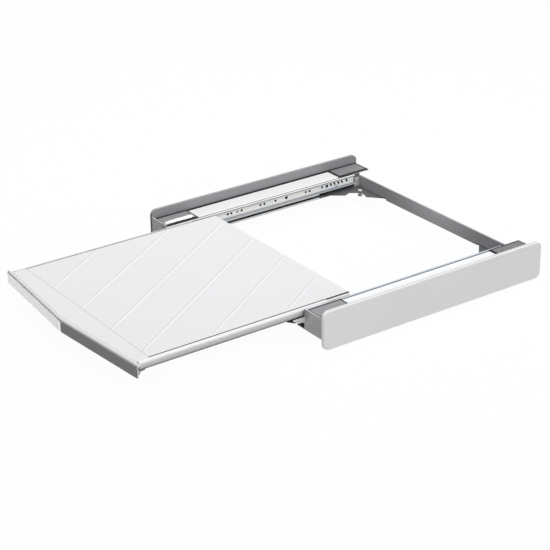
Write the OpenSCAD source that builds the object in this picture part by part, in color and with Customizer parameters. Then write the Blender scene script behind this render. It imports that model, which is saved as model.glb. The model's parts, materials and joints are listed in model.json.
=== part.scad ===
// Stacking kit that joins a tumble dryer on top of a washing machine,
// with a pull-out shelf between the two. Drawn with the shelf pulled out.
// Millimetres. +Z is up, the shelf pulls out towards -Y, X runs across.
// The origin is the middle of the whole footprint, level with the lower
// edges of the two side plates.

/* [Machines] */
// Width of the machines that the side plates embrace
machine_w = 600; // [595:1:600]
// Play between a side plate and the machine, on each side
side_play = 1; // [0.5:0.5:2]

/* [Side rails] */
// Length of a side rail, front to back
rail_len = 548; // [540:1:560]
// Height of a side plate
plate_h = 80; // [78:1:90]
// Corner radius of a side plate
plate_r = 13; // [8:1:15]
// Sheet thickness of the side plates and rails
sheet = 2; // [1.5:0.5:2]
// Depth of the cover on the outside of a side plate
cover_t = 6; // [5:1:8]
// Width of the ledge that carries the dryer
ledge_w = 50.5; // [50:0.5:52]
// Height of the rail's underside above the plate's lower edge
box_bot = 22; // [21:1:23]
// Gap between the ledge and the side plate
ledge_gap = 7.5; // [6:0.5:8]
// Height of the ledge above the plate's lower edge
box_top = 61; // [61:0.5:62]

/* [Front end caps] */
// How far a cap stands up above the ledge
cap_up = 4.4; // [3.8:0.2:5]

/* [Pads] */
// Thickness of the pads under the dryer
top_pad_t = 2.2; // [2:0.2:3.4]
// Length of the pads under the dryer
top_pad_l = 82; // [70:1:84]
// Thickness of the pads on the washer
base_pad_t = 5; // [4:0.5:6]

/* [Runners] */
// Depth of a runner, from its back to its lips
runner_d = 8; // [8:0.1:8.2]
// Height of a runner
runner_h = 22.2; // [22.2:0.1:22.4]
// Metal thickness of a runner
runner_t = 1.2; // [1:0.1:1.2]
// Radius of the rollers
roller_r = 8.5; // [8:0.1:8.5]
// Radius of the roller pins
pin_r = 2.5; // [2:0.1:2.5]

/* [Shelf] */
// Length of the shelf in front of the side plates, at its corners
shelf_out = 368.5; // [360:0.5:370]
// How far the front edge bulges at the middle
shelf_bulge = 21; // [16:1:24]
// Length of the shelf behind the front of the side plates
shelf_in = 115.7; // [115:0.1:118]
// Height of the front face
fascia_h = 27.6; // [26:0.2:28.4]
// How far the shelf travels from pulled out to closed
travel = 337; // [300:1:337]
// Width of the raised lines on the shelf
line_w = 3; // [2:0.5:4]
// Height of the raised lines on the shelf
line_h = 0.5; // [0.3:0.1:0.6]

/* [Hidden] */
$fn = 48;

// inner faces of the side plates, and the faces that follow from them
xi = machine_w / 2 + side_play;
xp = xi + sheet;
xo = xp + cover_t;
xl = xi - ledge_w;
xr = xi - ledge_gap;

// runners: back face, web face, lip face, lower and upper edge, ends
rb = xl;
rw = rb - runner_t;
rl = rb - runner_d;
rz1 = box_top - 1;
rz0 = rz1 - runner_h;
rzm = (rz0 + rz1) / 2;
ry0 = 2.2;
ry1 = 499;
tongue = -29;
lip_up = 2.6;
lip_low = 5.5;

// shelf: half widths, heights
sh = rl - 0.7;
seam = sh - 8.2;
st = box_top + 1.9;
sp = st - 1.6;
sb = sp - 1.2;
groove = -334.6;
fh = sh + 8.5;

// rollers: the front pair bears down, the rear pair bears up
fr_y = 17;
rr_y = 105;
fr_z = rz0 + runner_t + 0.2 + roller_r;
rr_z = rz1 - runner_t - 0.2 - roller_r;
rx0 = rl + 1.7;
rx1 = rx0 + 4;

// roller bracket's outer face, and the rear end of the side trim
bo = sh - 2.3;
trim_end = 59;
trim_cut = 3.2;

// middle of the whole footprint, front to back
y_mid = (rail_len - (shelf_out + shelf_bulge)) / 2;

function yf(x) = -(shelf_out + shelf_bulge) + shelf_bulge * abs(x) / fh;

// holes along the runners
hole_y = [24, 84, 116, 158.8, 167.9, 194.8, 244.3, 254.7, 284.5, 366.8, 377.3, 411.8];
slot_y = [436, 446.5, 457, 467, 480];
rivet_y = [48, 183.6, 313.7, 425];
cover_screw_y = [60, 274, 488];
bar_screw_z = [34, 45];
bolt_y = [457, 485];

module place() { translate([0, -y_mid, 0]) children(); }
module left() { mirror([1, 0, 0]) children(); }

// a profile in X and Z, drawn out along Y
module along_y(y0, y1) { translate([0, y1, 0]) rotate([90, 0, 0]) linear_extrude(y1 - y0) children(); }
// an outline in Y and Z, drawn out along X
module along_x(x0, x1) { translate([x0, 0, 0]) rotate([90, 0, 90]) linear_extrude(x1 - x0) children(); }

// a rectangle with round corners
module rrect(x0, y0, x1, y1, r) {
  translate([x0 + r, y0]) square([x1 - x0 - 2 * r, y1 - y0]);
  translate([x0, y0 + r]) square([x1 - x0, y1 - y0 - 2 * r]);
  for (x = [x0 + r, x1 - r]) for (y = [y0 + r, y1 - r]) translate([x, y]) circle(r = r);
}

module bx(x0, y0, z0, x1, y1, z1) { translate([x0, y0, z0]) cube([x1 - x0, y1 - y0, z1 - z0]); }
module cyl_x(x0, x1, y, z, r) { translate([x0, y, z]) rotate([0, 90, 0]) cylinder(h = x1 - x0, r = r); }
module cyl_z(x, y, z0, z1, r) { translate([x, y, z0]) cylinder(h = z1 - z0, r = r); }

// flat steel side of a rail, which reaches above the ledge and below the rail
module side_plate() {
  color([0.54, 0.54, 0.56])
  difference() {
    along_x(xi, xp) rrect(0, 0, rail_len, plate_h, plate_r);
    for (y = cover_screw_y) cyl_x(xi - 1, xp + 1, y, (box_bot + box_top) / 2, 1.7);
  }
}

// pressed cover on the outside of the side plate, hollow, with screw posts
module side_cover() {
  color([0.82, 0.82, 0.83])
  difference() {
    union() {
      difference() {
        union() {
          along_x(xp, xo - 1) rrect(0, 0, rail_len, plate_h, plate_r);
          along_x(xo - 1.001, xo) rrect(0.8, 0.8, rail_len - 0.8, plate_h - 0.8, plate_r - 0.8);
        }
        along_x(xp - 1, xo - 1.8) rrect(2.2, 2.2, rail_len - 2.2, plate_h - 2.2, plate_r - 2.2);
      }
      for (y = cover_screw_y) cyl_x(xp, xo - 1.7, y, (box_bot + box_top) / 2, 4.5);
    }
    for (y = cover_screw_y) cyl_x(xp - 1, xo - 2.4, y, (box_bot + box_top) / 2, 1.3);
  }
}

// channel with the ledge on top, the runner's wall inside and a floor below
module rail_channel() {
  color([0.88, 0.88, 0.9])
  difference() {
    union() {
      along_y(sheet, rail_len - 0.3) {
        difference() {
          rrect(xl, box_bot, xr, box_top, 2.2);
          rrect(xl + sheet, box_bot + sheet, xr - sheet, box_top - sheet, 0.6);
        }
        // flange that is joined to the side plate
        translate([xr - 3, box_bot]) square([xi - xr + 3, sheet]);
        translate([xi - sheet, box_bot]) square([sheet, 12.5]);
      }
      // raised seats for the corner bracket
      for (y = bolt_y) cyl_z(262, y, box_bot + sheet - 0.001, box_bot + 4.5, 6);
      // small stud on the ledge
      cyl_z(268, 189, box_top - 0.001, box_top + 0.5, 1.5);
    }
    for (y = rivet_y) cyl_x(xl - 1, xl + sheet + 1, y, rzm, 2.05);
    for (z = bar_screw_z) cyl_x(xl - 1, xl + sheet + 1, 509, z, 2.6);
    for (y = bolt_y) cyl_z(262, y, box_bot - 1, box_bot + 6, 2.1);
    // slit along the foot of the runner's wall
    bx(xl - 1, 16, box_bot + 4.2, xl + sheet + 1, 498, box_bot + 9.4);
    // openings behind the runner's holes
    for (w = [[16, 40], [56, 175.6], [191.6, 305.7], [321.7, 417], [433, 498]])
      bx(xl - 1, w[0], rzm - 5.5, xl + sheet + 1, w[1], rzm + 7);
    // the wall ends at the bar, the ledge goes on with a round corner
    bx(xl - 1, 518, box_bot + sheet, xl + sheet + 0.3, rail_len, box_top - sheet);
    translate([xl + 3, rail_len - 3.3, box_top - 4]) linear_extrude(6) difference() {
      translate([-4, 0]) square([4, 4]);
      circle(r = 3);
    }
  }
}

// plate that closes the front of the rail and stands up in front of the pad
module front_end_cap() {
  color([0.5, 0.5, 0.52]) {
    along_y(0, sheet) difference() {
      rrect(xl - 4.2, box_bot - 0.5, xi, box_top + cap_up, 1.5);
      translate([rw - 0.2, rz0 - 0.2]) square([runner_t + 0.3, 12.2]);
    }
    along_y(sheet - 0.001, sheet + 10) difference() {
      rrect(xl + sheet + 0.4, box_bot + sheet + 0.4, xr - sheet - 0.4, box_top - sheet - 0.4, 1.5);
      rrect(xl + sheet + 2, box_bot + sheet + 2, xr - sheet - 2, box_top - sheet - 2, 0.6);
    }
    // foot that reaches in under the runner
    bx(xl - 27, 0, box_bot - 0.5, xl + 3, sheet, box_bot + 1.9);
    bx(xl - 27, 0, box_bot - 0.5, xl, 14, box_bot + 1.5);
  }
}

// rubber pad under a corner of the dryer
module top_pad(y0) {
  y1 = y0 + top_pad_l;
  color([0.3, 0.3, 0.31])
  difference() {
    union() {
      bx(xl - 2, y0, box_top, xr + 2, y1, box_top + top_pad_t - 0.7);
      bx(xl + 0.6, y0 + 2.6, box_top + 0.6, xr - 0.6, y1 - 2.6, box_top + top_pad_t);
    }
    cyl_z((xl + xi) / 2 - 8, y0 + 17, box_top + top_pad_t - 0.6, box_top + top_pad_t + 1, 2);
  }
}

// foam pad that rests on the washing machine
module base_pad(y0, y1) {
  color([0.16, 0.16, 0.17])
  bx(xl + 13, y0, box_bot - base_pad_t, xi - 4, y1, box_bot);
}

// bar that holds the two rails apart at the back
module rear_cross_bar() {
  color([0.53, 0.53, 0.55])
  difference() {
    union() {
      bx(-xl, 516, box_bot + 6.5, xl, 518, box_top - 7.2);
      bx(-152, 516, box_bot + 1.5, 152, 518, box_bot + 6.501);
      // hem along the top, flanges along the bottom
      bx(-xl + 3, 517.999, box_top - 9.6, xl - 3, 519.6, box_top - 7.2);
      bx(-152, 517.999, box_bot + 1.5, 152, 534, box_bot + 3.5);
      for (s = [-1, 1]) translate([s * 201, 0, 0]) {
        bx(-46, 517.999, box_bot + 6.5, 46, 534, box_bot + 8.5);
      }
      // ends turned forward along the rails
      for (s = [-1, 1]) translate([s * (xl - 1), 0, 0]) bx(-1, 502, box_bot + 6.7, 1, 516.001, box_top - 10.4);
    }
    for (s = [-1, 1]) for (z = bar_screw_z) cyl_x(s * (xl - 1) - 3, s * (xl - 1) + 3, 509, z, 2.6);
    for (s = [-1, 1]) for (x = [185, 225]) cyl_z(s * x, 526, box_bot + 5, box_bot + 10, 2.1);
  }
}

// flat plate that squares the corner between a rail and the bar
module corner_bracket() {
  color([0.45, 0.45, 0.47])
  difference() {
    translate([0, 0, box_bot + 4.5]) linear_extrude(2)
      polygon([[272, 421], [xl, 421], [xl - 27, 457], [xl - 20.5, 473], [xl - 29.5, 486],
               [xl - 41.5, 495], [188, 489], [160, 514], [152.5, 516], [152.5, 534], [xl - 0.3, 534],
               [xl - 0.3, 497], [272, 497]]);
    for (y = bolt_y) cyl_z(262, y, box_bot + 3, box_bot + 8, 2.1);
    for (x = [185, 225]) cyl_z(x, 526, box_bot + 3, box_bot + 8, 2.1);
    cyl_z(222, 497.6, box_bot + 3, box_bot + 8, 2.6);
  }
}

// bolts of the corner bracket
module bracket_screws() {
  color([0.7, 0.71, 0.72]) {
    for (y = bolt_y) {
      cyl_z(262, y, box_bot - 0.001, box_bot + 10.4, 2);
      cyl_z(262, y, box_bot - 2.2, box_bot, 4);
      cyl_z(262, y, box_bot + 6.5, box_bot + 9, 3.4);
    }
    for (x = [185, 225]) {
      cyl_z(x, 526, box_bot + 4.499, box_bot + 12.4, 2);
      cyl_z(x, 526, box_bot + 2.3, box_bot + 4.5, 4);
      cyl_z(x, 526, box_bot + 8.5, box_bot + 11, 3.4);
    }
    // foot that stands on the washing machine
    cyl_z(222, 497.6, box_bot - base_pad_t + 0.6, box_bot + 6.501, 2.5);
    cyl_z(222, 497.6, box_bot + 6.5, box_bot + 8.7, 4.5);
    cyl_z(222, 497.6, box_bot - base_pad_t, box_bot - base_pad_t + 2.4, 5);
  }
}

// zinc plated runner, open towards the shelf
module runner() {
  color([0.74, 0.76, 0.77])
  difference() {
    union() {
      along_y(ry0, ry1) difference() {
        translate([rl, rz0]) square([runner_d, runner_h]);
        translate([rl + runner_t, rz0 + runner_t]) square([runner_d - 2 * runner_t, runner_h - 2 * runner_t]);
        translate([rl - 1, rz0 + lip_low]) square([runner_t + 2, runner_h - lip_low - lip_up]);
      }
      // tongue that reaches out through the end cap
      along_x(rw, rb) polygon([[ry0 + 0.01, rz0], [-2, rz0], [-7, rz0 + 1.7], [-19.6, rz0 + 3.5], [-24, rz0 + 7],
        [tongue, rz0 + 10], [tongue, rz0 + 11.2], [tongue + 0.8, rz0 + 11.7], [ry0 + 0.01, rz0 + 11.7]]);
    }
    for (y = hole_y) cyl_x(rw - 1, rb + 1, y, rzm, 2.7);
    for (y = slot_y) translate([0, y, rzm + 1]) rotate([30, 0, 0]) {
      cyl_x(rw - 1, rb + 1, 0, -2.2, 2);
      cyl_x(rw - 1, rb + 1, 0, 2.2, 2);
      bx(rw - 1, -2, -2.2, rb + 1, 2, 2.2);
    }
    for (y = rivet_y) cyl_x(rw - 1, rb + 1, y, rzm, 2.05);
  }
}

// rivets that hold the runner to the rail
module runner_rivets() {
  color([0.8, 0.8, 0.8])
  for (y = rivet_y) {
    cyl_x(rw - 0.001, xl + sheet + 0.001, y, rzm, 2);
    cyl_x(rw - 0.5, rw, y, rzm, 3.6);
    cyl_x(xl + sheet, xl + sheet + 1.5, y, rzm, 3.2);
  }
}

// block that stops the front roller when the shelf is pulled out
module front_stop() {
  color([0.12, 0.12, 0.13])
  bx(rx0 + 0.1, fr_y - roller_r - 6, rz0 + runner_t, rw, fr_y - roller_r - 0.4, rz0 + runner_t + 8);
}

// rubber block that the rear roller meets when the shelf is closed
module rear_bumper() {
  y0 = rr_y + travel + roller_r + 0.4;
  color([0.12, 0.12, 0.13])
  bx(rx0, y0, rz0 + runner_t, rx1, y0 + 8, rz0 + runner_t + 8);
}

// screws between the bar's ends and the rails
module bar_screws() {
  color([0.7, 0.71, 0.72])
  for (z = bar_screw_z) {
    cyl_x(xl - 2.001, xl + sheet + 4, 509, z, 2.45);
    cyl_x(xl - 4.3, xl - 2, 509, z, 4.6);
  }
}

// screws between the side plate and its cover
module cover_screws() {
  color([0.7, 0.71, 0.72])
  for (y = cover_screw_y) {
    cyl_x(xi - 0.001, xo - 2.6, y, (box_bot + box_top) / 2, 1.25);
    cyl_x(xi - 1.8, xi, y, (box_bot + box_top) / 2, 3);
  }
}

// sheet that carries the shelf, with its sides and back folded down
module shelf_base() {
  color([0.9, 0.9, 0.91])
  difference() {
    union() {
      translate([0, 0, sb]) linear_extrude(1.2)
        polygon([[-seam - 1.4, shelf_in], [-seam - 1.4, yf(seam + 1.4) + 2.1], [0, yf(0) + 2.1],
                 [seam + 1.4, yf(seam + 1.4) + 2.1], [seam + 1.4, shelf_in]]);
      for (s = [-1, 1]) translate([s * (seam + 0.8), 0, 0]) {
        bx(-0.6, yf(seam) + 12, sb - 10, 0.6, trim_cut - 2, sb + 1);
      }
      bx(-seam + 18, shelf_in - 1.2, sb - 10, seam - 18, shelf_in, sb + 1);
    }
    for (s = [-1, 1]) for (y = [20, 90]) cyl_z(s * (seam - 5), y, sb - 1, sb + 3, 1.7);
  }
}

// top panel with raised lines that cross in diamonds
module shelf_panel() {
  color([0.94, 0.94, 0.95]) {
    difference() {
      bx(-seam + 0.4, groove + 0.7, sp, seam - 0.4, shelf_in, st);
      for (s = [-1, 1]) for (y = [20, 90]) cyl_z(s * (seam - 5), y, sp - 1, sp + 0.8, 1.7);
    }
    intersection() {
      bx(-seam + 3, groove + 3, st - 0.2, seam - 3, shelf_in - 2, st + line_h);
      union() {
        for (k = [-1:6]) rotate([0, 0, 123.4]) translate([-600, 285.7 - 92.4 * k - line_w / 2, st - 0.2]) cube([1200, line_w, 1]);
        for (k = [-3:3]) rotate([0, 0, 51.5]) translate([-600, -43.7 - 93.6 * k - line_w / 2, st - 0.2]) cube([1200, line_w, 1]);
      }
    }
  }
}

// plain strip across the front of the shelf
module front_strip() {
  color([0.94, 0.94, 0.95])
  translate([0, 0, sp]) linear_extrude(1.6)
    polygon([[-seam - 1.3, groove - 0.7], [-seam - 1.3, yf(seam) + 9.6], [0, yf(0) + 9.6],
             [seam + 1.3, yf(seam) + 9.6], [seam + 1.3, groove - 0.7]]);
}

// front face, bent to a shallow point, with a top edge turned back
module front_fascia() {
  color([0.86, 0.86, 0.88])
  difference() {
    union() {
      translate([0, 0, st - fascia_h]) linear_extrude(fascia_h - 0.9)
        polygon([[-fh, yf(fh)], [0, yf(0)], [fh, yf(fh)], [fh, yf(fh) + 2], [0, yf(0) + 2], [-fh, yf(fh) + 2]]);
      translate([0, 0, sp]) linear_extrude(0.7)
        polygon([[-fh, yf(fh)], [0, yf(0)], [fh, yf(fh)], [fh, yf(fh) + 9], [0, yf(0) + 9], [-fh, yf(fh) + 9]]);
      translate([0, 0, st - 0.901]) linear_extrude(0.901)
        polygon([[-fh + 0.6, yf(fh) + 0.8], [0, yf(0) + 0.8], [fh - 0.6, yf(fh) + 0.8], [fh - 0.6, yf(fh) + 9], [0, yf(0) + 9], [-fh + 0.6, yf(fh) + 9]]);
    }
    // round lower corners
    for (s = [-1, 1]) translate([s * (fh - 5), 0, st - fascia_h + 5]) rotate([90, 0, 0]) translate([0, 0, shelf_out - 30])
      linear_extrude(60) difference() {
        translate([s > 0 ? 0 : -6, -6]) square([6, 6]);
        circle(r = 5);
      }
    // notches in the lower edge
    for (x = [-79, -23, 23, 79]) bx(x - 1.5, -400, st - fascia_h - 1, x + 1.5, -360, st - fascia_h + 2.2);
  }
}

// round edge strip along the side of the shelf
module side_trim() {
  color([0.96, 0.96, 0.96]) {
    // front length, full height, hollow inside
    along_y(groove, trim_cut) difference() {
      intersection() {
        rrect(seam - 20, sp - 16.4, sh, st, 5);
        translate([seam + 1.4, 0]) square([20, 100]);
      }
      translate([seam, sp - 1]) square([1.6, 10]);
      translate([seam + 1.3, sp - 14.4]) square([sh - seam - 3.3, 12.2]);
    }
    along_y(yf(fh) + 9.6, groove + 0.001) intersection() {
      rrect(seam - 20, sp - 16.4, sh, st, 5);
      translate([seam + 1.6, 0]) square([20, 100]);
    }
    // rear length, cut away beneath for the roller bracket
    along_y(trim_cut - 0.001, trim_end) difference() {
      intersection() {
        rrect(seam - 20, sp - 16.4, sh, st, 5);
        translate([seam + 1.4, sp - 5.3]) square([20, 100]);
      }
      translate([seam, sp - 1]) square([1.6, 10]);
      translate([seam - 1, sp - 6]) square([sh - seam - 1, 4.8]);
    }
  }
}

// black seal between the panel and the edge strip
module edge_seal() {
  color([0.1, 0.1, 0.11])
  bx(seam - 0.3, groove + 0.2, sp, seam + 1.5, shelf_in, st - 0.2);
}

// sliding block under the rear end of the edge strip
module guide_block() {
  color([0.1, 0.1, 0.11])
  along_x(sh - 5.8, sh - 0.3) polygon([[-36, sp - 16.4], [-32, sp - 18], [-18, sp - 24.2], [trim_cut - 0.3, sp - 25], [trim_cut - 0.3, sp - 16.4]]);
}

// hook shaped bracket behind each end of the front face
module fascia_bracket() {
  color([0.5, 0.5, 0.52])
  along_x(sh - 5, sh - 1) polygon([[yf(sh - 1) + 2.2, st - 27], [yf(sh - 1) + 7, st - 27], [yf(sh - 1) + 11, st - 24.5],
    [yf(sh - 1) + 12.5, st - 20.5], [yf(sh - 1) + 24, sp - 16.7], [yf(sh - 1) + 2.2, sp - 16.7]]);
}

// pressed cross stiffener under the shelf
module stiffener(y0) {
  color([0.78, 0.79, 0.8])
  along_x(-seam + 16, seam - 16) translate([y0, sb]) polygon([
    [0, 0], [0, -1.5], [7, -1.5], [12, -9.5], [30, -9.5], [35, -1.5], [42, -1.5], [42, 0],
    [34, 0], [29, -8], [13, -8], [8, 0]]);
}

// angle plate that carries the rollers of one side
module roller_bracket() {
  color([0.74, 0.76, 0.77])
  difference() {
    union() {
      along_x(bo - 2, bo) polygon([[trim_cut + 0.1, 42], [8, rz0 - 1], [108, rz0 - 1], [114, 42], [114, sb - 1], [trim_cut + 0.1, sb - 1]]);
      bx(seam - 12, trim_cut + 0.1, sb - 2, bo, 114, sb);
    }
    cyl_x(bo - 4, bo + 1, fr_y, fr_z, pin_r + 0.02);
    cyl_x(bo - 4, bo + 1, rr_y, rr_z, pin_r + 0.02);
    for (y = [20, 90]) cyl_z(seam - 5, y, sb - 4, sb + 1, 1.7);
  }
}

module roller_pin(y, z) {
  cyl_x(bo - 2.1, rx1 - 1, y, z, pin_r);
  cyl_x(rx1 - 0.95, rx1 - 0.15, y, z, 3.8);
  cyl_x(rx1 - 1.01, rx1 - 0.9, y, z, pin_r);
  cyl_x(bo - 3.1, bo - 2, y, z, 4);
}
// shoulder pins that the rollers turn on
module roller_pins() { color([0.8, 0.8, 0.8]) { roller_pin(fr_y, fr_z); roller_pin(rr_y, rr_z); } }

// screws that hold the roller bracket under the shelf
module shelf_screws() {
  color([0.7, 0.71, 0.72])
  for (y = [20, 90]) {
    cyl_z(seam - 5, y, sb - 2.001, sp + 0.6, 1.6);
    cyl_z(seam - 5, y, sb - 3.8, sb - 2, 3.2);
  }
}

// nylon roller with a recess for the pin's head
module roller(y, z) {
  color([0.86, 0.86, 0.84])
  difference() {
    union() {
      cyl_x(rx0 + 0.5, rx1 - 0.5, y, z, roller_r);
      cyl_x(rx0, rx1, y, z, roller_r - 0.5);
    }
    cyl_x(rx0 - 1, rx1 + 1, y, z, pin_r + 0.05);
    cyl_x(rx1 - 1, rx1 + 1, y, z, 4.1);
  }
}

place() left() side_plate();  // left_side_plate
place() side_plate();  // right_side_plate
place() left() side_cover();  // left_side_cover
place() side_cover();  // right_side_cover
place() left() rail_channel();  // left_rail_channel
place() rail_channel();  // right_rail_channel
place() left() front_end_cap();  // left_front_end_cap
place() front_end_cap();  // right_front_end_cap
place() left() top_pad(sheet + 0.2);  // front_left_top_pad
place() top_pad(sheet + 0.2);  // front_right_top_pad
place() left() top_pad(rail_len - 6.5 - top_pad_l);  // rear_left_top_pad
place() top_pad(rail_len - 6.5 - top_pad_l);  // rear_right_top_pad
place() left() base_pad(25, 95);  // front_left_base_pad
place() base_pad(25, 95);  // front_right_base_pad
place() left() base_pad(378, 446);  // rear_left_base_pad
place() base_pad(378, 446);  // rear_right_base_pad
place() rear_cross_bar();
place() left() corner_bracket();  // left_corner_bracket
place() corner_bracket();  // right_corner_bracket
place() left() runner();  // left_runner
place() runner();  // right_runner
place() left() front_stop();  // left_front_stop
place() front_stop();  // right_front_stop
place() left() rear_bumper();  // left_rear_bumper
place() rear_bumper();  // right_rear_bumper
place() left() runner_rivets();  // left_runner_rivets
place() runner_rivets();  // right_runner_rivets
place() left() bar_screws();  // left_bar_screws
place() bar_screws();  // right_bar_screws
place() left() bracket_screws();  // left_bracket_screws
place() bracket_screws();  // right_bracket_screws
place() left() cover_screws();  // left_cover_screws
place() cover_screws();  // right_cover_screws
place() shelf_base();
place() shelf_panel();
place() front_strip();
place() front_fascia();
place() left() side_trim();  // left_side_trim
place() side_trim();  // right_side_trim
place() left() edge_seal();  // left_edge_seal
place() edge_seal();  // right_edge_seal
place() left() fascia_bracket();  // left_fascia_bracket
place() fascia_bracket();  // right_fascia_bracket
place() stiffener(-330);  // front_stiffener
place() stiffener(-140);  // middle_stiffener
place() stiffener(50);  // rear_stiffener
place() left() roller_bracket();  // left_roller_bracket
place() roller_bracket();  // right_roller_bracket
place() left() guide_block();  // left_guide_block
place() guide_block();  // right_guide_block
place() left() roller_pins();  // left_roller_pins
place() roller_pins();  // right_roller_pins
place() left() shelf_screws();  // left_shelf_screws
place() shelf_screws();  // right_shelf_screws
place() left() roller(fr_y, fr_z);  // front_left_roller
place() roller(fr_y, fr_z);  // front_right_roller
place() left() roller(rr_y, rr_z);  // rear_left_roller
place() roller(rr_y, rr_z);  // rear_right_roller
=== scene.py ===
import json
import math

import bmesh
import bpy
from mathutils import Matrix, Vector

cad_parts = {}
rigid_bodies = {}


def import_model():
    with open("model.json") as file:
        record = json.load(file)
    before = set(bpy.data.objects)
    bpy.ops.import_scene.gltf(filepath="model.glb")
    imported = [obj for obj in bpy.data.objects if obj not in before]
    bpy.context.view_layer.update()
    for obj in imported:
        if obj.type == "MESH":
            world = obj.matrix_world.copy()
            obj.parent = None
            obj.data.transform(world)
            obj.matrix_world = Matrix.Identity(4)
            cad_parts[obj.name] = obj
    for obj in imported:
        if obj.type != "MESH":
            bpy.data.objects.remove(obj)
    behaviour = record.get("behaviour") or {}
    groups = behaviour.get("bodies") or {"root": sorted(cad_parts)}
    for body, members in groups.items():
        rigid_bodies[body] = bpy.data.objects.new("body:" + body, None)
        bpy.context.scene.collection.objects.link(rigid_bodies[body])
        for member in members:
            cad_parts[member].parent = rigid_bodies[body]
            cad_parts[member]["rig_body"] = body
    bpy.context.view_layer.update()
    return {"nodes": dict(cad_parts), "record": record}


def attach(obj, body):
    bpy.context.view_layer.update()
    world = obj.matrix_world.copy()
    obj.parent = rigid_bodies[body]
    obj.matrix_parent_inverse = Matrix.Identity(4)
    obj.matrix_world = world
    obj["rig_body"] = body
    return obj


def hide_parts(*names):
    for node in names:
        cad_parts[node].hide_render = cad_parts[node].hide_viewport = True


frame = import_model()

MM = 0.001
Y_MID = 79.25          # the CAD origin lies this far behind the front ends of the side plates
NODES = frame["nodes"]
scene = bpy.context.scene


# ---------------------------------------------------------------- materials
def sock(node, name, value):
    node.inputs[name].default_value = value


class Mat:
    """A procedural material on object coordinates, in metres."""

    def __init__(self, name):
        self.m = bpy.data.materials.new(name)
        self.m.use_nodes = True
        self.t = self.m.node_tree
        self.t.nodes.clear()
        self.out = self.t.nodes.new("ShaderNodeOutputMaterial")
        self.b = self.t.nodes.new("ShaderNodeBsdfPrincipled")
        self.link(self.b.outputs[0], self.out.inputs[0])
        self.co = self.t.nodes.new("ShaderNodeTexCoord")
        self.bumps = None

    def link(self, a, b):
        self.t.links.new(a, b)

    def set(self, **kw):
        for k, v in kw.items():
            sock(self.b, k.replace("_", " "), v)
        return self

    def vec(self, scale=(1, 1, 1), rot=(0, 0, 0)):
        n = self.t.nodes.new("ShaderNodeMapping")
        sock(n, "Scale", scale)
        sock(n, "Rotation", rot)
        self.link(self.co.outputs["Object"], n.inputs["Vector"])
        return n.outputs[0]

    def noise(self, size, detail=3.0, rough=0.55, scale=(1, 1, 1), rot=(0, 0, 0), distort=0.0):
        n = self.t.nodes.new("ShaderNodeTexNoise")
        sock(n, "Scale", 1.0 / size)
        sock(n, "Detail", detail)
        sock(n, "Roughness", rough)
        sock(n, "Distortion", distort)
        self.link(self.vec(scale, rot), n.inputs["Vector"])
        return n.outputs["Fac"]

    def voronoi(self, size, feature="F1", scale=(1, 1, 1), randomness=1.0):
        n = self.t.nodes.new("ShaderNodeTexVoronoi")
        n.feature = feature
        sock(n, "Scale", 1.0 / size)
        sock(n, "Randomness", randomness)
        self.link(self.vec(scale), n.inputs["Vector"])
        return n

    def ramp(self, fac, stops):
        n = self.t.nodes.new("ShaderNodeValToRGB")
        e = n.color_ramp.elements
        while len(e) > 1:
            e.remove(e[-1])
        e[0].position, e[0].color = stops[0][0], (*stops[0][1], 1)
        for p, c in stops[1:]:
            x = e.new(p)
            x.color = (*c, 1)
        self.link(fac, n.inputs[0])
        return n.outputs[0]

    def span(self, fac, a, b, lo=0.0, hi=1.0):
        n = self.t.nodes.new("ShaderNodeMapRange")
        sock(n, "From Min", lo)
        sock(n, "From Max", hi)
        sock(n, "To Min", a)
        sock(n, "To Max", b)
        self.link(fac, n.inputs["Value"])
        return n.outputs[0]

    def math(self, op, a, b=None, clamp=False):
        n = self.t.nodes.new("ShaderNodeMath")
        n.operation = op
        n.use_clamp = clamp
        for i, v in enumerate((a, b)):
            if v is None:
                continue
            if isinstance(v, (int, float)):
                n.inputs[i].default_value = v
            else:
                self.link(v, n.inputs[i])
        return n.outputs[0]

    def mix(self, fac, a, b):
        n = self.t.nodes.new("ShaderNodeMix")
        n.data_type = "RGBA"
        for i, v in ((0, fac), (6, a), (7, b)):
            if isinstance(v, (int, float)):
                n.inputs[i].default_value = v
            elif isinstance(v, tuple):
                n.inputs[i].default_value = (*v, 1)
            else:
                self.link(v, n.inputs[i])
        return n.outputs[2]

    def color(self, out):
        self.link(out, self.b.inputs["Base Color"])
        return self

    def rough(self, out):
        self.link(out, self.b.inputs["Roughness"])
        return self

    def bump(self, height, strength=0.2, distance=0.0002):
        n = self.t.nodes.new("ShaderNodeBump")
        sock(n, "Strength", strength)
        sock(n, "Distance", distance)
        self.link(height, n.inputs["Height"])
        if self.bumps is not None:
            self.link(self.bumps, n.inputs["Normal"])
        self.bumps = n.outputs[0]
        self.link(self.bumps, self.b.inputs["Normal"])
        return self


def scaled(c, k):
    return tuple(min(1.0, x * k) for x in c)


def enamel(name, c, rough=0.34, coat=0.25, peel=0.10, speck=0.012):
    """Powder coated or stove enamelled steel: orange peel, faint blotches, dust in the finish."""
    m = Mat(name)
    m.set(IOR=1.5, Coat_Weight=coat, Coat_Roughness=0.12)
    big = m.noise(0.16, 2.0)
    fine = m.noise(0.0016, 2.0)
    col = m.ramp(big, [(0.30, scaled(c, 1 - speck * 1.6)), (0.5, c), (0.72, scaled(c, 1 + speck))])
    col = m.mix(m.span(fine, 0.0, 0.07, 0.6, 0.85), col, scaled(c, 0.86))
    m.color(col)
    m.rough(m.span(m.noise(0.02, 3.0), rough - 0.04, rough + 0.06, 0.3, 0.7))
    m.bump(m.noise(0.0035, 2.0, 0.4), peel, 0.00006)
    m.bump(fine, peel * 0.5, 0.00003)
    return m.m


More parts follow.
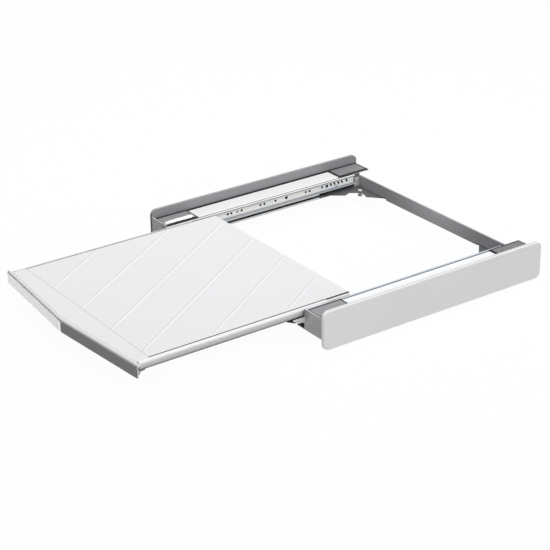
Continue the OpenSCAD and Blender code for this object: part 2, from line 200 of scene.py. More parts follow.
def plastic(name, c, rough=0.4, coat=0.0, grain=0.12, grain_size=0.0007, speck=0.02, coat_rough=0.08):
    """Moulded plastic: fine spark-eroded grain, slight flow marks."""
    m = Mat(name)
    m.set(IOR=1.49, Coat_Weight=coat, Coat_Roughness=coat_rough)
    flow = m.noise(0.09, 2.0, scale=(1.0, 0.35, 1.0), distort=0.2)
    col = m.ramp(flow, [(0.3, scaled(c, 1 - speck)), (0.55, c), (0.75, scaled(c, 1 + speck))])
    m.color(col)
    m.rough(m.span(m.noise(0.03, 2.0), rough - 0.03, rough + 0.04, 0.3, 0.7))
    v = m.voronoi(grain_size)
    m.bump(v.outputs["Distance"], grain, 0.00004)
    return m.m


def rubber(name, c, rough=0.5, coat=0.0, grit=0.0, coat_rough=0.2):
    m = Mat(name)
    m.set(IOR=1.52, Coat_Weight=coat, Coat_Roughness=coat_rough)
    bloom = m.noise(0.03, 4.0)
    col = m.ramp(bloom, [(0.3, scaled(c, 0.9)), (0.5, c), (0.75, scaled(c, 1.1))])
    if grit:
        cells = m.voronoi(0.0022)
        col = m.mix(m.span(cells.outputs["Distance"], grit, 0.0, 0.15, 0.6), col, scaled(c, 0.45))
        m.bump(cells.outputs["Distance"], 0.5, 0.0003)
    m.color(col)
    m.rough(m.span(m.noise(0.006, 3.0), rough - 0.06, rough + 0.08, 0.3, 0.7))
    m.bump(m.noise(0.0009, 2.0), 0.14, 0.00008)
    return m.m


def trim_plastic_painted_shade(name, c):
    """Glossy edge strip; its colour is painted darker from the crown down to the lower edge: painted shade for the
    underside turned away from the light.
    """
    m = Mat(name)
    m.set(IOR=1.49, Coat_Weight=0.5, Coat_Roughness=0.08)
    xyz = m.t.nodes.new("ShaderNodeSeparateXYZ")
    m.link(m.co.outputs["Object"], xyz.inputs[0])
    wave = m.span(m.noise(0.08, 2.0, scale=(1, 0.3, 1)), -0.012, 0.012, 0.3, 0.7)
    up = m.math("ADD", m.span(xyz.outputs[2], 0.0, 1.0, 0.0449, 0.0629), wave)
    m.color(m.ramp(up, [(0.0, scaled(c, 0.34)), (0.24, scaled(c, 0.42)), (0.36, scaled(c, 0.74)), (0.62, scaled(c, 0.84)), (0.80, c)]))
    m.rough(m.span(m.noise(0.03, 2.0), 0.2, 0.28, 0.3, 0.7))
    m.bump(m.voronoi(0.0007).outputs["Distance"], 0.012, 0.00004)
    return m.m


def foam(name, c):
    m = Mat(name)
    m.set(IOR=1.45, Specular_IOR_Level=0.25)
    v = m.voronoi(0.0011)
    m.color(m.ramp(v.outputs["Distance"], [(0.0, scaled(c, 0.45)), (0.35, c), (0.9, scaled(c, 1.4))]))
    m.rough(m.span(m.noise(0.004, 2.0), 0.8, 0.95, 0.3, 0.7))
    m.bump(v.outputs["Distance"], 0.6, 0.0003)
    return m.m


def zinc(name, c=(0.80, 0.81, 0.80), blue=(0.62, 0.68, 0.76), rough=0.34, along=(1, 0.02, 1), metal=0.85):
    """Zinc plated strip: rolling marks along its length, faint blue and straw bloom."""
    m = Mat(name)
    m.set(Metallic=metal, IOR=1.5)
    bloom = m.noise(0.05, 3.0, scale=(1, 0.35, 1))
    roll = m.noise(0.0009, 2.0, scale=along)
    col = m.ramp(bloom, [(0.25, blue), (0.5, c), (0.8, scaled(c, 1.08))])
    col = m.mix(m.span(roll, 0.0, 0.14, 0.45, 0.75), col, scaled(c, 0.78))
    m.color(col)
    m.rough(m.span(roll, rough - 0.06, rough + 0.12, 0.3, 0.7))
    m.bump(roll, 0.10, 0.00005)
    return m.m


MATS = {
    "white_enamel": enamel("white_enamel", (0.85, 0.852, 0.865)),
    "light_enamel": enamel("light_enamel", (0.86, 0.86, 0.868), rough=0.42, coat=0.12),
    # painted light: an enamel for the edge faces of the right side plate and right cover, its tone set for how these
    # rims catch the light
    "rim_painted_light": enamel("rim_painted_light", (0.76, 0.76, 0.77), rough=0.46, coat=0.08),
    # painted shade: a dark grey copy of the enamel for the left cover's rims and the strip's left end, where the light
    # leaves these edges darker
    "painted_rim_shade": enamel("painted_rim_shade", (0.40, 0.40, 0.41), rough=0.5, coat=0.05),
    "grey_enamel": enamel("grey_enamel", (0.27, 0.27, 0.282), rough=0.46, coat=0.06),
    "bar_enamel": enamel("bar_enamel", (0.47, 0.47, 0.49), rough=0.48, coat=0.05),
    # dark grey: the corner brackets and the bar's lower back faces are coloured dark; on the rail's inner wall behind
    # the runner's end it is painted shade
    "dark_enamel_and_painted_shade": enamel("dark_enamel_and_painted_shade", (0.125, 0.125, 0.132), rough=0.5, coat=0.04),
    "grey_plastic": plastic("grey_plastic", (0.46, 0.46, 0.475), rough=0.46, coat=0.15),
    "pad_rubber": rubber("pad_rubber", (0.018, 0.018, 0.019), rough=0.6),
    "pad_top": rubber("pad_top", (0.215, 0.215, 0.228), rough=0.44, coat=0.3, grit=0.35),
    # painted light: the front pads' tops are painted lighter than the rear ones (pad_top), for the light they catch
    "pad_top_painted_light": rubber("pad_top_painted_light", (0.29, 0.29, 0.303), rough=0.40, coat=0.9, grit=0.35, coat_rough=0.1),
    "base_rubber": foam("base_rubber", (0.030, 0.030, 0.032)),
    "seal_rubber": rubber("seal_rubber", (0.045, 0.045, 0.048), rough=0.6),
    "black_plastic": plastic("black_plastic", (0.012, 0.012, 0.013), rough=0.5),
    "bright_steel": zinc("bright_steel", (0.78, 0.78, 0.77), (0.7, 0.73, 0.78), rough=0.24, along=(1, 1, 1), metal=0.5),
    "zinc_plate": zinc("zinc_plate", (0.50, 0.57, 0.64), (0.36, 0.46, 0.56), rough=0.38, metal=0.5),
    "zinc_web": zinc("zinc_web", (0.88, 0.865, 0.83), (0.83, 0.83, 0.815), rough=0.45, metal=0.1),
    # painted shade: near black for faces deep in recesses and gaps, standing in for the shade there
    "painted_cavity_shade": enamel("painted_cavity_shade", (0.022, 0.022, 0.023), rough=0.7, coat=0.0),
    "nylon": plastic("nylon", (0.80, 0.80, 0.76), rough=0.38, coat=0.1),
    "white_panel": plastic("white_panel", (0.83, 0.832, 0.846), rough=0.34, coat=0.15, grain=0.015, speck=0.004, coat_rough=0.2),
    "white_gloss": plastic("white_gloss", (0.84, 0.842, 0.85), rough=0.24, coat=0.5, grain=0.012, speck=0.004),
    "trim_gloss_painted_shade": trim_plastic_painted_shade("trim_gloss_painted_shade", (0.84, 0.842, 0.85)),
    "zinc_top": zinc("zinc_top", (0.60, 0.67, 0.74), (0.52, 0.60, 0.69), rough=0.4, metal=0.3),
    "fascia_gloss": plastic("fascia_gloss", (0.84, 0.84, 0.85), rough=0.08, coat=1.0, grain=0.0, speck=0.004, coat_rough=0.03),
}
SLOT = {s["node"]: s["material_slot"] for s in frame["record"]["subparts"]}


# ---------------------------------------------------------------- mesh helpers
def new_object(name, bm, mat, body, node=None, smooth=True, weighted=True, sharp=50, extra=()):
    """extra: (material, test) pairs; a face whose middle (mm, CAD frame of part.scad) and normal pass gets it."""
    me = bpy.data.meshes.new(name)
    bm.normal_update()
    for f in bm.faces:
        f.smooth = smooth
        if extra:
            c = f.calc_center_median() / MM
            c.y += Y_MID
            for i, (_, test) in enumerate(extra):
                if test(c, f.normal):
                    f.material_index = i + 1
                    break
    for e in bm.edges:
        if len(e.link_faces) == 2:
            e.smooth = e.calc_face_angle(0.0) < math.radians(sharp)
    bm.to_mesh(me)
    bm.free()
    ob = bpy.data.objects.new(name, me)
    scene.collection.objects.link(ob)
    me.materials.append(mat)
    for m, _ in extra:
        me.materials.append(m)
    if weighted:
        w = ob.modifiers.new("weighted", "WEIGHTED_NORMAL")
        w.keep_sharp = True
        w.weight = 60
    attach(ob, body)
    if node:
        for n in ([node] if isinstance(node, str) else node):
            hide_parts(n)
    return ob


def clean_copy(node):
    bm = bmesh.new()
    bm.from_mesh(NODES[node].data)
    bmesh.ops.remove_doubles(bm, verts=bm.verts, dist=3e-6)
    bmesh.ops.dissolve_limit(bm, angle_limit=math.radians(0.5), use_dissolve_boundaries=False,
                             verts=bm.verts, edges=bm.edges, delimit=set())
    return bm


def bevel(bm, width, seg, angle=40, pick=None):
    bm.normal_update()
    edges = [e for e in bm.edges if len(e.link_faces) == 2 and abs(e.calc_face_angle(0.0)) > math.radians(angle)
             and (pick is None or pick(e))]
    bmesh.ops.bevel(bm, geom=edges, offset=width * MM, segments=seg, profile=0.5, affect="EDGES",
                    clamp_overlap=True, loop_slide=True)


PIECES = {}


def refine(node, width, seg=3, angle=40, first=None, slot=None, mat=None, extra=(), cuts=()):
    """A copy of a CAD node with its edges rounded; it stands for the node. cuts: (axis, mm) lines across its faces."""
    bm = clean_copy(node)
    if first:
        bevel(bm, *first)
    bevel(bm, width, seg, angle)
    for axis, at in cuts:
        no = Vector([1.0 if i == axis else 0.0 for i in range(3)])
        bmesh.ops.bisect_plane(bm, geom=bm.verts[:] + bm.edges[:] + bm.faces[:], dist=1e-6,
                               plane_co=no * (at - (Y_MID if axis == 1 else 0.0)) * MM, plane_no=no)
    body = NODES[node]["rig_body"]
    s = slot or SLOT[node]
    PIECES[node] = new_object(node + "_finished", bm, mat or MATS[s], body, node, extra=extra)
    return PIECES[node]


# guide_block: black blocks under the trims' front ends, a dark part put where there is deep shade between trim and
# runner
REFINE = {
    "side_plate": 0.35, "side_cover": 0.9, "rail_channel": 0.3, "front_end_cap": 0.5,
    "top_pad": 0.35, "base_pad": 0.8, "cross_bar": 0.4, "corner_bracket": 0.4, "runner_rivets": 0.3,
    "bar_screws": 0.35, "bracket_screws": 0.35, "cover_screws": 0.3, "shelf_screws": 0.3,
    "front_stop": 0.5, "rear_bumper": 0.6, "roller_bracket": 0.3, "roller_pins": 0.25, "stiffener": 0.3,
    "side_trim": 0.3, "fascia_bracket": 0.6, "shelf_base": 0.25, "runner": 0.2,
    "roller": 0.25, "edge_seal": 0.2, "guide_block": 0.4,
}


def width_for(node):
    best = None
    for k in REFINE:
        if k in node and (best is None or len(k) > len(best)):
            best = k
    return REFINE[best]


def in_rail(c, n):
    return 252.3 < abs(c.x) < 299.3 and 23.9 < c.z < 59.3 and 14 < c.y < 545.5


def lip_edge(e):
    v = [w.co / MM for w in e.verts]
    return all(abs(abs(p.x) - 242.5) < 0.05 and abs(p.z - 37.8) < 0.05 for p in v) and abs(v[0].y - v[1].y) > 20


def is_rim(c, n):
    return abs(n.x) < 0.7


def pad_face(y0):
    return lambda c, n: c.z > 62.55 and 254.1 < abs(c.x) < 289.9 and y0 + 4.6 < c.y < y0 + 77.4


def web(c, n):
    return abs(c.x) > 249.0 or c.z > 57.0


def hole_wall(c, n):
    return 249.36 < abs(c.x) < 250.44 and 40 < c.z < 58 and abs(n.x) < 0.5 and c.y > 20


def lip_foot(c, n):
    return abs(c.x) < 245 and c.z < 40.1 and c.y > 3


def lip_gap(c, n):
    return 247.5 < abs(c.x) < 250.6 and c.z > 59.4


def plate_inside(c, n):
    return abs(c.x) < 301.4 and 21.9 < c.z < 60.6 and 2 < c.y < 546


# Painted shade: the rail's inside and slit, the gap under each runner's top lip, the runner hole walls, the rear rivets
# and the side plates' faces below the ledges get near black, standing in for the shade in these recesses.
EXTRA = {
    "rail_channel": [(MATS["painted_cavity_shade"], in_rail),
                     (MATS["painted_cavity_shade"], lambda c, n: abs(c.x) < 250.7 and c.y > 405 and c.z < 37.7),
                     # the rail's inner wall behind the runner's end: painted shade
                     (MATS["dark_enamel_and_painted_shade"], lambda c, n: abs(c.x) < 250.7 and c.y > 500 and 24 < c.z < 59)],
    "front_left_top_pad": [(MATS["pad_top_painted_light"], pad_face(2.2))],
    "front_right_top_pad": [(MATS["pad_top_painted_light"], pad_face(2.2))],
    "rear_left_top_pad": [(MATS["pad_top"], pad_face(459.5))],
    "rear_right_top_pad": [(MATS["pad_top"], pad_face(459.5))],
    "right_runner_rivets": [(MATS["painted_cavity_shade"], lambda c, n: c.y > 300)],
    "left_runner_rivets": [(MATS["painted_cavity_shade"], lambda c, n: c.y > 300)],
    "left_runner": [(MATS["painted_cavity_shade"], lip_gap), (MATS["painted_cavity_shade"], hole_wall), (MATS["zinc_web"], lip_foot),
                    (MATS["zinc_web"], lambda c, n: abs(c.x) > 249.0 or c.z > 59.4)],
    "right_runner": [(MATS["painted_cavity_shade"], lip_gap), (MATS["painted_cavity_shade"], hole_wall), (MATS["zinc_web"], lip_foot),
                     (MATS["zinc_top"], lambda c, n: c.z > 57.0), (MATS["zinc_web"], web)],
    # right side plate: rim faces painted light; its faces below the ledge painted dark as shade
    "right_side_plate": [(MATS["rim_painted_light"], is_rim), (MATS["painted_cavity_shade"], plate_inside)],
    "left_side_plate": [(MATS["painted_cavity_shade"], plate_inside)],
    # the left cover's rim faces are painted dark grey: painted shade
    "left_side_cover": [(MATS["painted_rim_shade"], is_rim)],
    "right_side_cover": [(MATS["rim_painted_light"], is_rim)],
    "front_end_cap": [(MATS["black_plastic"], lambda c, n: abs(c.x) < 246.2),
                      # the cap's top edge faces are painted with the light enamel: a painted highlight along that edge
                      (MATS["light_enamel"], lambda c, n: c.z > 64.6 and n.z > 0.5)],
    # the bar's lower back faces are coloured dark grey
    "rear_cross_bar": [(MATS["dark_enamel_and_painted_shade"], lambda c, n: c.z < 31.0 and c.y > 517.5)],
}
PAD_X = [(0, k * v) for k in (1, -1) for v in (254.1, 289.9)]
CUTS = {
    "rail_channel": [(1, 500.0), (1, 405.0), (2, 37.7)],
    "_runner": [(0, 247.5), (0, -247.5)],
    "side_plate": [(2, 21.9), (2, 60.6), (1, 2.2), (1, 545.7)],
    "front_left_top_pad": PAD_X + [(1, 6.8), (1, 79.6)],
    "front_right_top_pad": PAD_X + [(1, 6.8), (1, 79.6)],
    "rear_left_top_pad": PAD_X + [(1, 464.1), (1, 536.9)],
    "rear_right_top_pad": PAD_X + [(1, 464.1), (1, 536.9)],
}
MAT_FOR = {"corner_bracket": MATS["dark_enamel_and_painted_shade"], "roller_bracket": MATS["zinc_web"], "bracket_screws": MATS["zinc_web"],
           "rear_bumper": MATS["nylon"], "side_trim": MATS["trim_gloss_painted_shade"]}


def pick_for(table, node, default):
    for k in table:
        if (node.endswith(k) if k[0] == "_" else k in node):
            return table[k]
    return default


CUSTOM = {"shelf_panel", "front_strip", "front_fascia"}
for n in sorted(NODES):
    if n not in CUSTOM:
        refine(n, width_for(n), extra=pick_for(EXTRA, n, ()), cuts=pick_for(CUTS, n, ()), mat=pick_for(MAT_FOR, n, None),
               first=(2.4, 5, 40, lip_edge) if n.endswith("_runner") else None)


# ---------------------------------------------------------------- the panel with its raised and sunk lines
RL = (600 / 2 + 1) - 50.5 - 8          # lip face of a runner
SH = RL - 0.7
SEAM = SH - 8.2
FH = SH + 8.5
SLOPE = 21.0 / FH
ST, SP = 62.9, 61.3
GROOVE = -334.6
SHELF_IN = 115.7


def make_panel():
    x0, x1 = -SEAM + 0.7, SEAM - 0.7
    y0, y1 = GROOVE + 0.7, SHELF_IN
    lines = []
    for k in range(-1, 7):
        a = math.radians(123.4)
        lines.append(("ridge", Vector((-math.sin(a), math.cos(a), 0)), 285.7 - 92.4 * k))
    for k in range(-3, 4):
        a = math.radians(51.5)
        lines.append(("sunk", Vector((-math.sin(a), math.cos(a), 0)), -43.7 - 93.6 * k))
    offs = {"ridge": [-2.8, -2.35, -1.9, -1.45, -1.0, -0.5, 0, 0.5, 1.0, 1.45, 1.9, 2.35, 2.8],
            "sunk": [-1.4, -1.0, -0.7, -0.35, 0, 0.35, 0.7, 1.0, 1.4]}
    bm = bmesh.new()
    vs = [bm.verts.new((x, y, 0)) for x, y in ((x0, y0), (x1, y0), (x1, y1), (x0, y1))]
    bm.faces.new(vs)

    def cut(no, d):
        bmesh.ops.bisect_plane(bm, geom=bm.verts[:] + bm.edges[:] + bm.faces[:], dist=1e-5,
                               plane_co=no * d, plane_no=no)

    for kind, no, d in lines:
        for o in offs[kind]:
            cut(no, d + o)
    X, Y = Vector((1, 0, 0)), Vector((0, 1, 0))
    for m in (0.12, 0.3, 0.6, 5.5, 7.0, 8.5):
        cut(X, x0 + m)
        cut(X, x1 - m)
        cut(Y, y0 + m if m < 1 else y0 + m * 0.4)
        cut(Y, y1 - m)

    def height(p):
        r, g = 0.0, 0.0
        for kind, no, d in lines:
            s = abs(p.x * no.x + p.y * no.y - d)
            if kind == "ridge" and s < 2.8:
                r = max(r, 0.62 * math.cos(math.pi * s / 5.6) ** 2)
            if kind == "sunk" and s < 1.0:
                g = min(g, -0.42 * math.cos(math.pi * s / 2.0) ** 2)
        m = min(p.x - x0, x1 - p.x, y1 - p.y, (p.y - y0) / 0.4)
        fade = min(1.0, max(0.0, (m - 5.5) / 3.0))
        h = (r if r > 0.02 else g) * fade
        e = min(p.x - x0, x1 - p.x, y1 - p.y, p.y - y0)
        if e < 0.6:
            h -= 0.6 - math.sqrt(max(0.0, 0.36 - (0.6 - e) ** 2))
        return h

    for v in bm.verts:
        v.co.z = height(v.co)
    # sides and underside
    rim = [e for e in bm.edges if len(e.link_faces) == 1]
    ret = bmesh.ops.extrude_edge_only(bm, edges=rim)
    for g in ret["geom"]:
        if isinstance(g, bmesh.types.BMVert):
            g.co.z = -(ST - SP)
    bottom = [e for e in bm.edges if len(e.link_faces) == 1]
    bmesh.ops.contextual_create(bm, geom=bottom)
    bmesh.ops.recalc_face_normals(bm, faces=bm.faces)
    # low step along the front edge, which fills the groove to just under the surface
    zt, zb, ya, yb = -0.75, -(ST - SP), y0 - 1.3, y0 + 0.9
    c = [bm.verts.new((x, y, z)) for x in (x0, x1) for y, z in ((ya, zb), (ya, zt), (yb, zt), (yb, zb))]
    step = [bm.faces.new([c[i] for i in q]) for q in ((0, 1, 2, 3), (7, 6, 5, 4), (0, 4, 5, 1), (1, 5, 6, 2), (2, 6, 7, 3), (3, 7, 4, 0))]
    bmesh.ops.recalc_face_normals(bm, faces=step)
    bmesh.ops.transform(bm, matrix=Matrix.Translation((0, -Y_MID, ST)), verts=bm.verts)
    bmesh.ops.scale(bm, vec=(MM, MM, MM), verts=bm.verts)
    return new_object("diamond_panel", bm, MATS["white_panel"], "shelf", "shelf_panel", weighted=True, sharp=40,
                      extra=((MATS["seal_rubber"], lambda c, n: abs(c.x) > SEAM - 1.3 and c.z > SP + 0.1),))


make_panel()


# ---------------------------------------------------------------- front strip and front face
def y_face(x, w=12.0):
    """The front face's line, bent at the middle over a short length."""
    a = abs(x)
    return -389.5 + SLOPE * (a if a > w else (x * x + w * w) / (2 * w))


def make_strip():
    w = SEAM + 1.3
    back = GROOVE - 0.7
    xs = [-w, -w + 0.9, -180, -120, -60, -30, -12, -6, 0, 6, 12, 30, 60, 120, 180, w]
    bm = bmesh.new()
    rings = []
    for x in xs:
        yf = y_face(x) + 7.1
        prof = [(yf, SP), (yf, ST - 0.35), (yf + 0.1, ST - 0.12), (yf + 0.35, ST),
                (back - 0.35, ST), (back - 0.1, ST - 0.12), (back, ST - 0.35), (back, SP)]
        rings.append([bm.verts.new((x * MM, (y - Y_MID) * MM, z * MM)) for y, z in prof])
    for r, q in zip(rings, rings[1:]):
        for i in range(len(r)):
            j = (i + 1) % len(r)
            bm.faces.new((r[i], q[i], q[j], r[j]))
    bm.faces.new(rings[0])
    bm.faces.new(rings[-1][::-1])
    bmesh.ops.recalc_face_normals(bm, faces=bm.faces)
    # the strip's left end is painted dark grey: painted shade along that edge
    return new_object("plain_strip", bm, MATS["white_panel"], "shelf", "front_strip", sharp=60,
                      extra=((MATS["painted_rim_shade"], lambda c, n: c.x < -w + 0.95),))


def make_fascia():
    """Pressed front face: rounded top, lip turned back, rounded ends, notches in the lower edge."""
    top, low, r = ST, ST - 27.6, 5.5
    END_R = 1.8
    outer = [(0.9, low), (0.35, low + 0.1), (0.08, low + 0.4), (0.0, low + 0.9)]
    outer += [(0.0, z) for z in (low + 2.3, low + 5.2, low + 9, low + 13, low + 17, top - r - 1.2)]
    for i in range(0, 17):
        t = math.radians(90 * i / 16)
        outer.append((r - r * math.cos(t), top - r + r * math.sin(t)))
    outer += [(6.2, top), (6.42, top - 0.07), (6.5, top - 0.25)]
    inner = [(6.5, SP), (5.6, SP - 0.02), (4.4, SP - 0.45), (3.2, SP - 1.35), (2.3, SP - 2.8), (2.0, SP - 4.4), (2.0, low + 0.3), (1.7, low)]
    prof = outer + inner
    xs = [0]
    for a in (2, 4, 6, 8, 10, 12, 14, 21.2, 21.5, 24.5, 24.8, 40, 60, 77.2, 77.5, 80.5, 80.8, 100, 130, 160, 190, 215, 235):
        xs += [a, -a]
    for a in (FH - 9.6, FH - 9.3, FH - 9.0, FH - 8.7, FH - 8.4):
        xs += [a, -a]
    for i in range(0, 13):
        t = math.radians(90 * i / 12)
        xs += [FH - 5 + 5 * math.sin(t) * 0.9999, -(FH - 5 + 5 * math.sin(t) * 0.9999)]
    # short steps at the notches
    for c in (23, 79):
        for o in (-1.5, 1.5):
            for s in (1, -1):
                xs += [s * (c + o + 0.02 * (1 if o > 0 else -1))]
    xs = sorted(set(round(x, 4) for x in xs))
    bm = bmesh.new()
    rings = []
    for x in xs:
        a = abs(x)
        yf = y_face(x)
        end = max(0.0, a - (FH - END_R))
        back = END_R - math.sqrt(max(0.0, END_R ** 2 - end * end))
        zb = low
        e5 = a - (FH - 5)
        if e5 > 0:
            zb = low + 5 - math.sqrt(max(0.0, 25 - e5 * e5))
        for c in (23, 79):
            if abs(a - c) <= 1.501:
                zb = max(zb, low + 2.2)
        seam = 0.28 if abs(a - (FH - 9.0)) < 0.2 else 0.0
        ring = []
        for i, (n, z) in enumerate(prof):
            nn = n + back * (1 - n / 6.5)
            if seam and i < len(outer) - 3:
                nn += seam
            if z < 57.0:
                nn = min(nn, 2.0)      # clear of the runners' tongues when the shelf is closed
            zz = max(z, zb + (z - low) * 0.35) if zb > low else z
            tz = top - (0.9 * (end / END_R) ** 2 if end > 0 else 0)
            ring.append(bm.verts.new((x * MM, (yf + nn - Y_MID) * MM, min(zz, tz) * MM)))
        rings.append(ring)
    for q0, q1 in zip(rings, rings[1:]):
        for i in range(len(q0)):
            j = (i + 1) % len(q0)
            bm.faces.new((q0[i], q1[i], q1[j], q0[j]))
    bm.faces.new(rings[0])
    bm.faces.new(rings[-1][::-1])
    bmesh.ops.recalc_face_normals(bm, faces=bm.faces)
    PIECES["front_fascia"] = new_object("pressed_fascia", bm, MATS["fascia_gloss"], "shelf", "front_fascia",
                                        weighted=False, sharp=35)


make_strip()
make_fascia()


# ---------------------------------------------------------------- floor, light, camera
def floor():
    bm = bmesh.new()
    bmesh.ops.create_grid(bm, x_segments=8, y_segments=8, size=9.0)
    me = bpy.data.meshes.new("floor")
    bm.to_mesh(me)
    bm.free()
    ob = bpy.data.objects.new("floor", me)
    ob.location.z = -0.0004
    scene.collection.objects.link(ob)
    m = bpy.data.materials.new("floor_paper")
    m.use_nodes = True
    t = m.node_tree
    t.nodes.clear()
    out = t.nodes.new("ShaderNodeOutputMaterial")
    mix = t.nodes.new("ShaderNodeAddShader")
    em = t.nodes.new("ShaderNodeEmission")
    em.inputs["Color"].default_value = (1, 1, 1, 1)
    em.inputs["Strength"].default_value = 0.965
    df = t.nodes.new("ShaderNodeBsdfDiffuse")
    df.inputs["Color"].default_value = (0.03, 0.03, 0.03, 1)
    t.links.new(em.outputs[0], mix.inputs[0])
    t.links.new(df.outputs[0], mix.inputs[1])
    # seen from underneath, the paper is clear
    under = t.nodes.new("ShaderNodeMixShader")
    t.links.new(t.nodes.new("ShaderNodeNewGeometry").outputs["Backfacing"], under.inputs[0])
    t.links.new(mix.outputs[0], under.inputs[1])
    t.links.new(t.nodes.new("ShaderNodeBsdfTransparent").outputs[0], under.inputs[2])
    t.links.new(under.outputs[0], out.inputs[0])
    me.materials.append(m)
    ob.visible_diffuse = False
    ob.visible_glossy = False
    ob.visible_shadow = False


floor()

world = bpy.data.worlds.new("studio")
scene.world = world
world.use_nodes = True
wt = world.node_tree
wt.nodes.clear()


def wnode(kind, **kw):
    n = wt.nodes.new(kind)
    for k, v in kw.items():
        setattr(n, k, v)
    return n


def wmath(op, a, b=None, clamp=False):
    n = wnode("ShaderNodeMath", operation=op, use_clamp=clamp)
    for i, v in enumerate((a, b)):
        if v is None:
            continue
        if isinstance(v, (int, float)):
            n.inputs[i].default_value = v
        else:
            wt.links.new(v, n.inputs[i])
    return n.outputs[0]


tc = wnode("ShaderNodeTexCoord")
sep = wnode("ShaderNodeSeparateXYZ")
wt.links.new(tc.outputs["Generated"], sep.inputs[0])
above = wmath("GREATER_THAN", sep.outputs[2], 0.0)


def lobe(direction, power):
    """A soft box in the sky: cosine to a power around a direction, cut off at the horizon."""
    d = Vector(direction).normalized()
    n = wnode("ShaderNodeVectorMath", operation="DOT_PRODUCT")
    wt.links.new(tc.outputs["Generated"], n.inputs[0])
    n.inputs[1].default_value = d
    return wmath("MULTIPLY", wmath("POWER", wmath("MAXIMUM", n.outputs["Value"], 0.0), power), above)


def soft_sum(parts, base):
    total = base
    for k, v in parts:
        total = wmath("ADD", total, wmath("MULTIPLY", v, k))
    return total


lit_l = soft_sum([(0.97, lobe((0, 0, 1), 8)), (3.3, lobe((0.93, 0.15, 0.35), 6)), (0.5, lobe((0, 1, 0.3), 2)),
                  (0.3, lobe((-1, 0, 0.5), 3))], 0.07)
# what gloss mirrors: a dark band round the horizon under a light sky
band = wnode("ShaderNodeMapRange", interpolation_type="SMOOTHSTEP")
wt.links.new(sep.outputs[2], band.inputs["Value"])
for k, v in (("From Min", 0.16), ("From Max", 0.55), ("To Min", 0.12), ("To Max", 0.95)):
    band.inputs[k].default_value = v

wout = wnode("ShaderNodeOutputWorld")
lp = wnode("ShaderNodeLightPath")
seen = wnode("ShaderNodeBackground")
seen.inputs["Color"].default_value = (0.985, 0.985, 0.985, 1)
lit = wnode("ShaderNodeBackground")
lit.inputs["Color"].default_value = (1, 1, 1, 1)
wt.links.new(lit_l, lit.inputs["Strength"])
gloss = wnode("ShaderNodeBackground")
gloss.inputs["Color"].default_value = (1, 1, 1, 1)
wt.links.new(band.outputs[0], gloss.inputs["Strength"])
m1 = wnode("ShaderNodeMixShader")
m2 = wnode("ShaderNodeMixShader")
wt.links.new(lp.outputs["Is Glossy Ray"], m1.inputs[0])
wt.links.new(lit.outputs[0], m1.inputs[1])
wt.links.new(gloss.outputs[0], m1.inputs[2])
wt.links.new(lp.outputs["Is Camera Ray"], m2.inputs[0])
wt.links.new(m1.outputs[0], m2.inputs[1])
wt.links.new(seen.outputs[0], m2.inputs[2])
wt.links.new(m2.outputs[0], wout.inputs[0])


def area(name, loc, target, sx, sy, power, only=None, diffuse=True, glossy=True):
    d = bpy.data.lights.new(name, "AREA")
    d.shape = "RECTANGLE"
    d.size, d.size_y = sx, sy
    d.energy = power
    o = bpy.data.objects.new(name, d)
    o.location = loc
    o.rotation_euler = (Vector(target) - Vector(loc)).to_track_quat("-Z", "Y").to_euler()
    scene.collection.objects.link(o)
    o.visible_diffuse = diffuse
    o.visible_glossy = glossy
    if only:
        c = bpy.data.collections.new(name + "_lights")
        for n in only:
            c.objects.link(PIECES[n])
        o.light_linking.receiver_collection = c
    return o


area("key_top", (-0.35, 0.55, 2.0), (0.0, 0.1, 0.05), 1.6, 1.6, 17.2, glossy=False)


def card(name, az0, az1, el0, el1, power, only, dist=5.0):
    """A tall white card beside the set, which only the front face mirrors."""
    base = Vector((0.0, -0.469, 0.05))
    mid = math.radians((az0 + az1) / 2)
    half = math.radians((az1 - az0) / 2)
    z0 = base.z + dist * math.tan(math.radians(el0))
    z1 = base.z + dist * math.tan(math.radians(el1))
    loc = base + Vector((math.cos(mid) * dist, math.sin(mid) * dist, 0))
    loc.z = (z0 + z1) / 2
    area(name, loc, (base.x, base.y, loc.z), 2 * dist * math.tan(half), z1 - z0, power, only, diffuse=False)


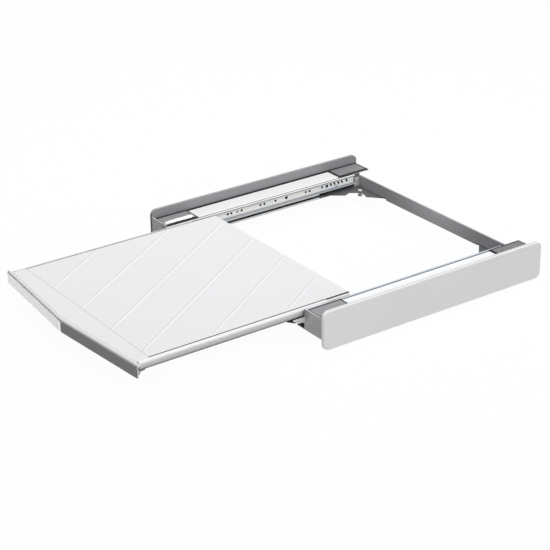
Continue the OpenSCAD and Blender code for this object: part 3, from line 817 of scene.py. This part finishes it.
card("card_left", 170.0, 202.9, -50.0, -8.5, 83.0, ["front_fascia"])
card("card_mid", 202.9, 210.6, -50.0, -8.5, 28.0, ["front_fascia"])
area("bar_fill", (0.02, 0.30, 0.16), (0.0, 0.437, 0.04), 0.10, 0.06, 0.16, ["rear_cross_bar"], glossy=False)
area("cap_fill", (0.0, -0.80, -0.25), (0.0, -0.08, 0.04), 0.4, 0.4, 3.3,
     ["left_front_end_cap", "right_front_end_cap"], glossy=False)
for k, side in ((1, "left"), (-1, "right")):
    area("runner_fill_" + side, (0.15 * k, 0.15, 0.22), (-0.25 * k, 0.17, 0.05), 0.12, 0.5, 0.5, [side + "_runner"], glossy=False)
area("ledge_fill", (0.275, 0.2, 0.6), (0.275, 0.2, 0.06), 0.1, 0.5, 0.75, ["right_rail_channel"], glossy=False)

UNDER = ("shelf_base", "stiffener", "rail_channel", "base_pad", "roller", "corner_bracket", "shelf_screws")
area("under_fill", (0.0, -0.1, -2.5), (0.0, -0.1, 0.0), 3.0, 3.0, 25.0, [n for n in PIECES if any(k in n for k in UNDER)], glossy=False)
area("cover_fill", (-2.1, 0.195, 0.06), (-0.3, 0.195, 0.04), 0.5, 0.5, 20.0, ["left_side_cover"], glossy=False)
area("rim_fill", (0.33, -1.3, 0.12), (0.305, -0.08, 0.04), 0.3, 0.3, 8.0, ["right_side_cover", "right_side_plate"], glossy=False)
area("pad_glint", (-1.048, 0.443, 0.455), (-0.262, -0.036, 0.0632), 0.075, 0.026, 0.085, ["front_left_top_pad"], diffuse=False)

cam = bpy.data.cameras.new("camera")
cam.sensor_fit = "HORIZONTAL"
cam.sensor_width = 36.0
cam.lens = 1695.62 / 550 * 36
cam.clip_start, cam.clip_end = 0.1, 60
co = bpy.data.objects.new("camera", cam)
r0 = Vector((0.57761328, 0.81620485, -0.01313513))
r1 = Vector((-0.33924091, 0.25464799, 0.90557717))
r2 = Vector((0.74248131, -0.51861743, 0.42397814))
m = Matrix((r0, r1, r2)).transposed().to_4x4()
m.translation = Vector((2560.943, -1682.669 - Y_MID, 1475.320)) * MM
co.matrix_world = m
scene.collection.objects.link(co)
scene.camera = co
scene.view_settings.view_transform = "Standard"
scene.view_settings.look = "None"
